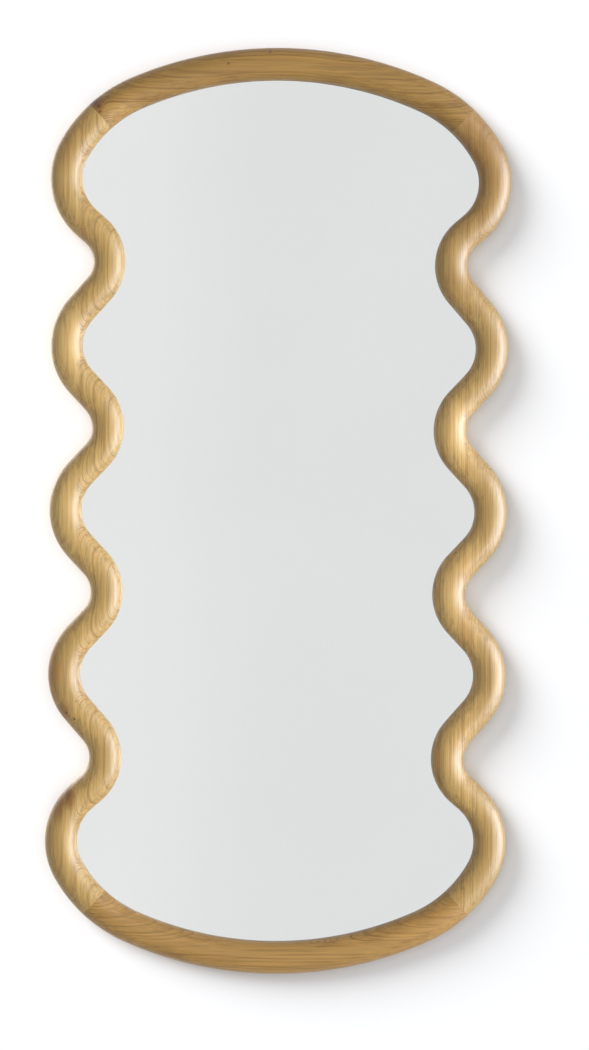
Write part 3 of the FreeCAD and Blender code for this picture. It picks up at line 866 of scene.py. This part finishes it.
# Bright zinc: its two tones, the drawing marks in waves to the metre, and the dull spots, with their
# detail, the span in which they set in and the ramp of the roughness
ZINC = ((0.66, 0.67, 0.69), (0.54, 0.55, 0.57))
DRAWING_MARKS = (350.0, 2600.0, 2600.0)
DULL_SPOTS = (160.0, 3.0)
DULL_SPAN = (0.4, 0.7)
ZINC_ROUGHNESS = (0.3, 0.75, 0.22, 0.40)
ZINC_RELIEF = (0.00001, 0.5)


def zinc_plate():
    """Bright zinc plating, with faint drawing marks and a few dull spots."""
    zinc = Shader("zinc_plate")
    place = zinc.place()
    marks = zinc.noise(zinc.vector("MULTIPLY", place, DRAWING_MARKS), 1.0)
    dull = zinc.noise(place, *DULL_SPOTS)
    base = zinc.mix(zinc.ramp(dull, *DULL_SPAN), *map(opaque, ZINC))
    zinc.shade(Base_Color=base, Roughness=zinc.ramp(dull, *ZINC_ROUGHNESS), Metallic=1.0)
    zinc.bump(marks, *ZINC_RELIEF)
    return zinc.material


# The pieces

SIDES = ("left", "right")


def sizes_of(context):
    scene = context.scene
    return scene.wavy_frame, scene.mirror_back, scene.mirror_hanger


class MIRROR_OT_rails(bpy.types.Operator):
    """Model the top and bottom rails: a half-round bar swept over the crown, cut at the mitres"""
    bl_idname = "mirror.rails"
    bl_label = "Rails"

    def execute(self, context):
        sizes, back, _ = sizes_of(context)
        for name in ("top_rail", "bottom_rail"):
            bm = swept_bar(sizes, back, rail_path(sizes))
            if name == "bottom_rail":
                move(bm, Matrix.Scale(-1, 4, (0, 0, 1)))
            wood = LacqueredBoard(name, context.scene.mirror_wood).material
            finish_piece(name + "_bar", bm, "frame", [name], [wood])
        return {"FINISHED"}


class MIRROR_OT_stiles(bpy.types.Operator):
    """Model the waved stiles: an inner board, and outer lobes glued on at an upright line"""
    bl_idname = "mirror.stiles"
    bl_label = "Stiles"

    def execute(self, context):
        sizes, back, _ = sizes_of(context)
        glue_x = sizes.width / 2 - sizes.bar_width - sizes.middle_set_in + sizes.glue_cover
        for side in SIDES:
            for part, node in (("inner", "_stile_inner_board"), ("lobes", "_stile_outer_lobes")):
                bm = swept_bar(sizes, back, stile_path(sizes))
                keep_side(bm, glue_x, part == "lobes")
                if side == "left":
                    move(bm, Matrix.Scale(-1, 4, (1, 0, 0)))
                wood = LacqueredBoard(side + "_" + part, context.scene.mirror_wood).material
                finish_piece(side + "_" + part + "_bar", bm, "frame", [side + node], [wood])
        return {"FINISHED"}


class MIRROR_OT_dowels(bpy.types.Operator):
    """Give the glued-in corner dowels their beech"""
    bl_idname = "mirror.dowels"
    bl_label = "Corner Dowels"

    def execute(self, context):
        dowels = frame["nodes"]["corner_dowels"]
        dowels.data.materials.clear()
        dowels.data.materials.append(beech())
        return {"FINISHED"}


class MIRROR_OT_glass(bpy.types.Operator):
    """Model the glass with its ground edge, and the silver layer behind it"""
    bl_idname = "mirror.glass"
    bl_label = "Glass"

    def execute(self, context):
        sizes, back, _ = sizes_of(context)
        low = back.recess + back.board
        outwards = sizes.lip_cover - sizes.bar_width / 2 - back.play
        plate = waved_plate(sizes, outwards, low, low + back.glass, back.glass_arris)
        for face in plate.faces:
            face.material_index = 0 if abs(face.normal.y) > ALONG_AXIS else 1
        finish_piece(
            "glass_plate", plate, "frame", ["mirror_glass"],
            [two_tone("float_glass").material, two_tone("ground_glass_edge").material])
        rear = low + back.silvering / 2
        layer = waved_plate(sizes, outwards - 2 * back.glass_arris, rear, rear + back.silvering, 0)
        for face in layer.faces:
            face.material_index = 1 if face.normal.y > ALONG_AXIS else 0
        finish_piece(
            "silver_layer", layer, "frame", ["mirror_glass"],
            [two_tone("silver_layer").material, two_tone("grey_backing_paint").material])
        return {"FINISHED"}


class MIRROR_OT_backing_board(bpy.types.Operator):
    """Model the hardboard that closes the back"""
    bl_idname = "mirror.backing_board"
    bl_label = "Backing Board"

    def execute(self, context):
        sizes, back, _ = sizes_of(context)
        outwards = sizes.lip_cover + sizes.board_ledge - sizes.bar_width / 2 - back.play
        board = waved_plate(sizes, outwards, back.recess, back.recess + back.board, back.board_arris)
        finish_piece("hardboard_back", board, "frame", ["backing_board"], [hardboard()])
        return {"FINISHED"}


def lathe(corners, steps=ROUND_STEPS):
    """A solid of revolution about Z, from corners given as radius and height."""
    bm = bmesh.new()
    verts = [bm.verts.new((radius, 0, z)) for radius, z in corners]
    edges = [bm.edges.new(pair) for pair in zip(verts, verts[1:])]
    bmesh.ops.spin(
        bm, geom=verts + edges, cent=(0, 0, 0), axis=(0, 0, 1), angle=FULL_TURN, steps=steps,
        use_merge=True, use_duplicate=False)
    weld(bm)
    face_outwards(bm)
    return bm


# A screw's domed head, as shares of its radius and height; its point, as a share of the shank; and the
# blades that cut its recess: how they taper, their width by their reach, and their depth by the head's
DOME_SHARES = ((0.0, 1.0), (0.35, 0.97), (0.62, 0.88), (0.82, 0.72), (0.94, 0.48), (1.0, 0.18), (1.0, 0.0))
SCREW_POINT_SHARE = 0.15
BLADE_TAPER = (0.55, 0.7, 1)
BLADE_WIDTH_SHARE = 0.42
BLADE_DEPTH_SHARE = 1.5

# Each screw is turned this much further than the one before
SCREW_TURN = 1.1


def cross_head_screw(group, recess_share):
    """A screw that points down -Z from a seat at Z = 0, with a domed head and a cross recess."""
    head_height, radius = group.screw_head_height, group.screw_radius
    dome = [(share * group.screw_head, rise * head_height) for share, rise in DOME_SHARES]
    tip = head_height - group.screw_length
    shank = [(radius, 0), (radius, tip * (1 - SCREW_POINT_SHARE)), (0, tip)]
    screw = mesh_object("screw_blank", lathe(dome + shank))
    cutter = bmesh.new()
    reach = group.screw_head * recess_share
    for turn in (0, SQUARE):
        blade = bmesh.ops.create_cube(cutter, size=1)["verts"]
        taper = [vert for vert in blade if vert.co.z < 0]
        bmesh.ops.scale(cutter, vec=BLADE_TAPER, verts=taper)
        size = (2 * reach, reach * BLADE_WIDTH_SHARE, head_height * BLADE_DEPTH_SHARE)
        bmesh.ops.scale(cutter, vec=size, verts=blade)
        bmesh.ops.translate(cutter, vec=(0, 0, head_height), verts=blade)
        bmesh.ops.rotate(cutter, cent=(0, 0, 0), matrix=Matrix.Rotation(turn, 3, "Z"), verts=blade)
    blades = mesh_object("recess_cutter", cutter)
    cut = screw.modifiers.new("recess", "BOOLEAN")
    cut.operation = "DIFFERENCE"
    cut.solver = "EXACT"
    cut.use_self = True
    cut.object = blades
    shown = screw.evaluated_get(bpy.context.evaluated_depsgraph_get())
    mesh = bpy.data.meshes.new_from_object(shown)
    bpy.data.objects.remove(screw)
    bpy.data.objects.remove(blades)
    return mesh


def screws_at(mesh, seats):
    """Copies of a screw driven in from behind, each at a seat and turned by its own angle."""
    bm = bmesh.new()
    for number, seat in enumerate(seats):
        old = set(bm.verts)
        bm.from_mesh(mesh)
        new = [vert for vert in bm.verts if vert not in old]
        turn = Matrix.Rotation(number * SCREW_TURN, 4, "Z")
        matrix = Matrix.Translation(seat) @ Matrix.Rotation(-SQUARE, 4, "X") @ turn
        bmesh.ops.transform(bm, matrix=matrix, verts=new)
    return bm


class MIRROR_OT_backing_screws(bpy.types.Operator):
    """Drive the screws that hold the board: one at each outward lobe and three on each rail"""
    bl_idname = "mirror.backing_screws"
    bl_label = "Backing Screws"

    def execute(self, context):
        sizes, back, hanger = sizes_of(context)
        outwards = sizes.lip_cover - sizes.bar_width / 2 + (sizes.board_ledge - back.play) / 2
        right = [station(lobe, 0, outwards, back.recess) for lobe in side_lobes(sizes)[::2]]
        crown = rail_path(sizes)[1]
        step = back.rail_screw_pitch / crown.radius
        top = [station(crown, SQUARE + step * place, outwards, back.recess) for place in (-1, 0, 1)]
        seats = right + top
        seats += [Vector((-seat.x, seat.y, seat.z)) for seat in right]
        seats += [Vector((seat.x, seat.y, -seat.z)) for seat in top]
        mesh = cross_head_screw(back, hanger.recess_share)
        finish_piece(
            "board_screws", screws_at(mesh, seats), "frame", ["backing_screws"], [zinc_plate()])
        return {"FINISHED"}


def barrel_radius(hanger):
    return hanger.wire + hanger.fit + hanger.strap_thickness


class MIRROR_OT_hanger_straps(bpy.types.Operator):
    """Fold the two straps round the bars of their rings"""
    bl_idname = "mirror.hanger_straps"
    bl_label = "Hanger Straps"

    def execute(self, context):
        hanger = context.scene.mirror_hanger
        for side in SIDES:
            bm = folded_strap(hanger)
            move(bm, Matrix.Translation(HINGES[side + "_ring"]))
            name = side + "_hanger_strap"
            finish_piece(name + "_folded", bm, "frame", [name], [zinc_plate()])
        return {"FINISHED"}


def folded_strap(hanger):
    """A strip folded round the ring's bar, with rounded ends below, about the hinge."""
    outer = barrel_radius(hanger)
    turn = hanger.fold_turn
    drop = outer * math.cos(turn) + outer - 2 * hanger.strap_thickness
    run = drop / math.tan(turn)
    bm = bmesh.new()
    foot = bm.verts.new((-hanger.strap_width / 2, -outer, -hanger.strap_length))
    last = pull(bm, [foot], Vector((0, 0, hanger.strap_length)))
    last = swing(bm, last, (0, 0, 0), (-1, 0, 0), math.pi + turn, FOLD_STEPS)
    last = pull(bm, last, Vector((0, -drop, -run)))
    pull(bm, last, Vector((0, 0, outer * math.sin(turn) + run - hanger.strap_fold)))
    weld(bm)
    pull(bm, bm.verts[:] + bm.edges[:], Vector((hanger.strap_width, 0, 0)))
    ends = ((hanger.strap_length, hanger.foot_share), (hanger.strap_fold, hanger.fold_share))
    for end, rounding in ends:
        corners = [vert for vert in bm.verts if abs(vert.co.z + end) < SAME_POINT]
        round_corners(bm, corners, hanger.strap_width * rounding, FOOT_STEPS)
    face_outwards(bm)
    bmesh.ops.solidify(bm, geom=bm.faces[:], thickness=hanger.strap_thickness)
    face_outwards(bm)
    arris(bm, turned_by_more(bm.edges, SQUARE / 2), hanger.strap_edge)
    return bm


class MIRROR_OT_hanger_rings(bpy.types.Operator):
    """Bend the two D-shaped rings"""
    bl_idname = "mirror.hanger_rings"
    bl_label = "Hanger Rings"

    def execute(self, context):
        hanger = context.scene.mirror_hanger
        for side in SIDES:
            bm = bent_ring(hanger)
            move(bm, Matrix.Translation(HINGES[side + "_ring"]))
            name = side + "_hanger_ring"
            finish_piece(name + "_wire", bm, side + "_ring", [name], [zinc_plate()])
        return {"FINISHED"}


def bent_ring(hanger):
    """A D of wire about the hinge, leaning on the wood."""
    inner = hanger.half_width - hanger.corner
    bm = bmesh.new()
    bmesh.ops.create_circle(bm, segments=WIRE_STEPS, radius=hanger.wire)
    move(bm, Matrix.Translation((-inner, 0, 0)) @ Matrix.Rotation(SQUARE, 4, "Y"))
    last = pull(bm, bm.verts[:] + bm.edges[:], Vector((2 * inner, 0, 0)))
    bends = (
        (inner, hanger.corner, SQUARE, hanger.leg - hanger.corner),
        (0, hanger.leg, math.pi, hanger.corner - hanger.leg),
        (-inner, hanger.corner, SQUARE, 0))
    for x, z, turn, run in bends:
        radius = hanger.half_width if turn > SQUARE else hanger.corner
        steps = round(turn * radius / WIRE_SPACING)
        last = swing(bm, last, (x, 0, z), FRONTWARDS, turn, steps)
        if run:
            last = pull(bm, last, Vector((0, 0, run)))
    weld(bm)
    fall = barrel_radius(hanger) - hanger.wire - hanger.stand_off
    lean = math.asin(fall / (hanger.leg + hanger.half_width))
    move(bm, Matrix.Rotation(lean, 4, "X"))
    return bm


class MIRROR_OT_hanger_screws(bpy.types.Operator):
    """Drive two screws through each strap"""
    bl_idname = "mirror.hanger_screws"
    bl_label = "Hanger Screws"

    def execute(self, context):
        hanger = context.scene.mirror_hanger
        mesh = cross_head_screw(hanger, hanger.recess_share)
        for side in SIDES:
            hinge = HINGES[side + "_ring"]
            first = Vector((hinge.x, BACK_Y + 2 * hanger.strap_thickness, hinge.z - hanger.screw_drop))
            second = first + Vector((0, -hanger.strap_thickness, -hanger.screw_spacing))
            name = side + "_hanger_screws"
            finish_piece(
                name + "_crossed", screws_at(mesh, [first, second]), "frame", [name],
                [zinc_plate()])
        return {"FINISHED"}


class MIRROR_OT_wall_bumpers(bpy.types.Operator):
    """Mould the two rubber bumpers at the bottom corners"""
    bl_idname = "mirror.wall_bumpers"
    bl_label = "Wall Bumpers"

    def execute(self, context):
        sizes, back, _ = sizes_of(context)
        for side in SIDES:
            bm = lathe([(0, 0), (back.bumper_radius, 0), (back.bumper_face, -BACK_Y), (0, -BACK_Y)])
            rim = [edge for edge in turned_by_more(bm.edges, EDGE_TURN) if edge.verts[0].co.z > -BACK_Y / 2]
            arris(bm, rim, back.bumper_round, BUMPER_STEPS)
            name = side + "_wall_bumper"
            low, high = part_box(name)
            middle = (low + high) / 2
            move(bm, Matrix.Translation((middle.x, BACK_Y, middle.z)) @ Matrix.Rotation(-SQUARE, 4, "X"))
            finish_piece(
                name + "_moulded", bm, "frame", [name], [two_tone("soft_rubber").material])
        return {"FINISHED"}


# The stage

# Softboxes: where they stand, how wide and high they are; and the colour of the side panel
Softbox = namedtuple("Softbox", "name place width height")
KEY = Softbox("key_softbox", Vector((3.54, -3.54, -0.3)), 2.2, 4.5)
PANEL = Softbox("side_panel", Vector((4.8, -0.85, -0.2)), 3.6, 4.6)
REAR = Softbox("rear_softbox", Vector((-1.4, 2.2, 0.9)), 1.6, 1.6)
PANEL_COLOUR = (0.82, 0.98, 1.18)

# Lights that reach one sheet of the stage: how far their light is spread, and where they aim
SheetLight = namedtuple("SheetLight", "name spread aim")
SLANTING = SheetLight("slanting_wall_light", math.radians(38), Vector((0.713, 0.460, -0.529)))
FROM_FRONT = SheetLight("front_wall_light", math.radians(84), -FRONTWARDS)
FROM_ABOVE = SheetLight("floor_light", math.radians(55), Vector((0, 0, -1)))

# The mirror looks down -Y. What it sees there is the mirror's grey, a little paler left of a line; the
# spans are those of X and Y in which the greys change.
PALER_LEFT = 1.06
LEFT_SPAN = (0.01, 0.045)
AHEAD_SPAN = (-0.98, -0.90)


def flat_sheet(name, half, middle, turn):
    """A square sheet for the stage, facing upwards before it is turned about X."""
    bm = bmesh.new()
    bmesh.ops.create_grid(bm, x_segments=1, y_segments=1, size=half)
    move(bm, Matrix.Translation(middle) @ Matrix.Rotation(turn, 4, "X"))
    sheet = mesh_object(name, bm)
    return sheet


def add_light(name, kind, energy, aim):
    """A light that shines in a direction and that no camera sees."""
    data = bpy.data.lights.new(name, kind)
    data.energy = energy
    lamp = bpy.data.objects.new(name, data)
    lamp.rotation_euler = aim.to_track_quat("-Z", "Y").to_euler()
    lamp.visible_camera = False
    bpy.context.scene.collection.objects.link(lamp)
    return lamp


def area_lamp(softbox, power):
    lamp = add_light(softbox.name, "AREA", power, -softbox.place)
    lamp.location = softbox.place
    lamp.data.shape = "RECTANGLE"
    lamp.data.size = softbox.width
    lamp.data.size_y = softbox.height
    return lamp


class MIRROR_OT_stage(bpy.types.Operator):
    """Set the wall, floor, lamps, room light and camera"""
    bl_idname = "mirror.stage"
    bl_label = "Stage"

    def execute(self, context):
        studio = context.scene.mirror_studio
        wall = self.wall(studio)
        floor = self.floor(studio)
        key = area_lamp(KEY, studio.key_power)
        panel = area_lamp(PANEL, studio.sheen_power)
        panel.data.color = PANEL_COLOUR
        panel.visible_diffuse = False
        rear = area_lamp(REAR, studio.rear_power)
        self.light_sheet(wall, SLANTING, studio.wall_slant)
        self.light_sheet(wall, FROM_FRONT, studio.wall_front)
        self.light_sheet(floor, FROM_ABOVE, studio.floor_light)
        self.keep_from((wall, floor), (key, panel, rear))
        self.room_light(context, studio)
        self.camera(context, studio)
        context.scene.view_settings.view_transform = "Standard"
        return {"FINISHED"}

    def wall(self, studio):
        """A white wall that is seen from its front only, so that the mirror's back can be looked at."""
        half = studio.wall_half
        wall = flat_sheet("wall", half, (0, 0, studio.floor_z + half), SQUARE)
        paint = two_tone("wall_paint")
        clear = paint.add("BsdfTransparent").outputs[0]
        behind = paint.add("NewGeometry").outputs["Backfacing"]
        either = paint.add("MixShader", {0: behind, 1: paint.bsdf.outputs[0], 2: clear}).outputs[0]
        paint.feed(paint.output.inputs["Surface"], either)
        wall.data.materials.append(paint.material)
        wall.visible_transmission = False
        wall.visible_diffuse = False
        wall.visible_shadow = False
        return wall

    def floor(self, studio):
        floor = flat_sheet("floor", studio.wall_half, (0, 0, studio.floor_z), 0)
        floor.data.materials.append(two_tone("floor_paint").material)
        floor.visible_diffuse = False
        floor.visible_shadow = False
        return floor

    def light_sheet(self, sheet, light, power):
        """A light for one sheet alone; the slanting one draws the mirror's shadow on the wall."""
        lamp = add_light(light.name, "SUN", power, light.aim)
        lamp.data.angle = light.spread
        reach = bpy.data.collections.new(light.name + "_reach")
        reach.objects.link(sheet)
        lamp.light_linking.receiver_collection = reach

    def keep_from(self, sheets, lamps):
        """The sheets have lights of their own, so these lamps leave them out."""
        shaded = bpy.data.collections.new("all_but_wall_and_floor")
        for sheet in sheets:
            shaded.objects.link(sheet)
        for member in shaded.collection_objects:
            member.light_linking.link_state = "EXCLUDE"
        for lamp in lamps:
            lamp.light_linking.receiver_collection = shaded

    def room_light(self, context, studio):
        """Even light from all round; the camera sees it white, and polished parts see a pale grey."""
        world = bpy.data.worlds.new("room")
        context.scene.world = world
        world.use_nodes = True
        room = Nodes(world.node_tree)
        path = room.add("LightPath").outputs
        split = room.add("SeparateXYZ", {0: room.add("TexCoord").outputs["Generated"]}).outputs
        ahead = room.ramp(split["X"], *LEFT_SPAN, studio.mirror_grey * PALER_LEFT, studio.mirror_grey)
        reflected = room.ramp(split["Y"], *AHEAD_SPAN, ahead, studio.room_grey)
        below, above = 1 + studio.ambient_fall / 2, 1 - studio.ambient_fall / 2
        light = room.ramp(
            split["Z"], -1, 1, below * studio.ambient, above * studio.ambient, smooth=False)
        polished = room.math("MAXIMUM", path["Is Glossy Ray"], path["Is Transmission Ray"])
        seen = room.part_way(polished, light, reflected)
        ground = world.node_tree.nodes["Background"]
        room.feed(ground.inputs["Strength"], room.part_way(path["Is Camera Ray"], seen, 1.0))
        room.feed(ground.inputs["Color"], (1, 1, 1, 1))

    def camera(self, context, studio):
        """A long lens in front of the mirror, rolled a little, as in the photograph."""
        data = bpy.data.cameras.new("camera")
        data.lens = data.sensor_width * studio.camera_distance / studio.view_height
        camera = bpy.data.objects.new("camera", data)
        camera.location = (studio.camera_x, -studio.camera_distance, studio.aim_z)
        aim = Vector((studio.aim_x, BOARD_DEPTH_MIDDLE, studio.aim_z)) - camera.location
        level = aim.to_track_quat("-Z", "Y").to_matrix().to_4x4()
        camera.rotation_euler = (level @ Matrix.Rotation(studio.lean, 4, "Z")).to_euler()
        context.scene.collection.objects.link(camera)
        context.scene.camera = camera


STEPS = (
    MIRROR_OT_rails, MIRROR_OT_stiles, MIRROR_OT_dowels, MIRROR_OT_glass, MIRROR_OT_backing_board,
    MIRROR_OT_backing_screws, MIRROR_OT_hanger_straps, MIRROR_OT_hanger_rings,
    MIRROR_OT_hanger_screws, MIRROR_OT_wall_bumpers, MIRROR_OT_stage,
)


class MIRROR_PT_panel(bpy.types.Panel):
    """Lists the mirror's pieces and their sizes"""
    bl_idname = "MIRROR_PT_panel"
    bl_label = "Wavy Mirror"
    bl_space_type = "VIEW_3D"
    bl_region_type = "UI"
    bl_category = "Wavy Mirror"

    def draw(self, context):
        for step in STEPS:
            self.layout.operator(step.bl_idname)
        for name, group in PROPERTY_GROUPS.items():
            box = self.layout.box()
            for key in group.__annotations__:
                box.prop(getattr(context.scene, name), key)


CLASSES = (*PROPERTY_GROUPS.values(), *STEPS, MIRROR_PT_panel)


def register():
    for cls in CLASSES:
        bpy.utils.register_class(cls)
    for name, group in PROPERTY_GROUPS.items():
        setattr(bpy.types.Scene, name, PointerProperty(type=group))


def unregister():
    for name in PROPERTY_GROUPS:
        delattr(bpy.types.Scene, name)
    for cls in reversed(CLASSES):
        bpy.utils.unregister_class(cls)


def main():
    register()
    for step in STEPS:
        group, name = step.bl_idname.split(".")
        getattr(getattr(bpy.ops, group), name)()


if __name__ == "__main__":
    main()
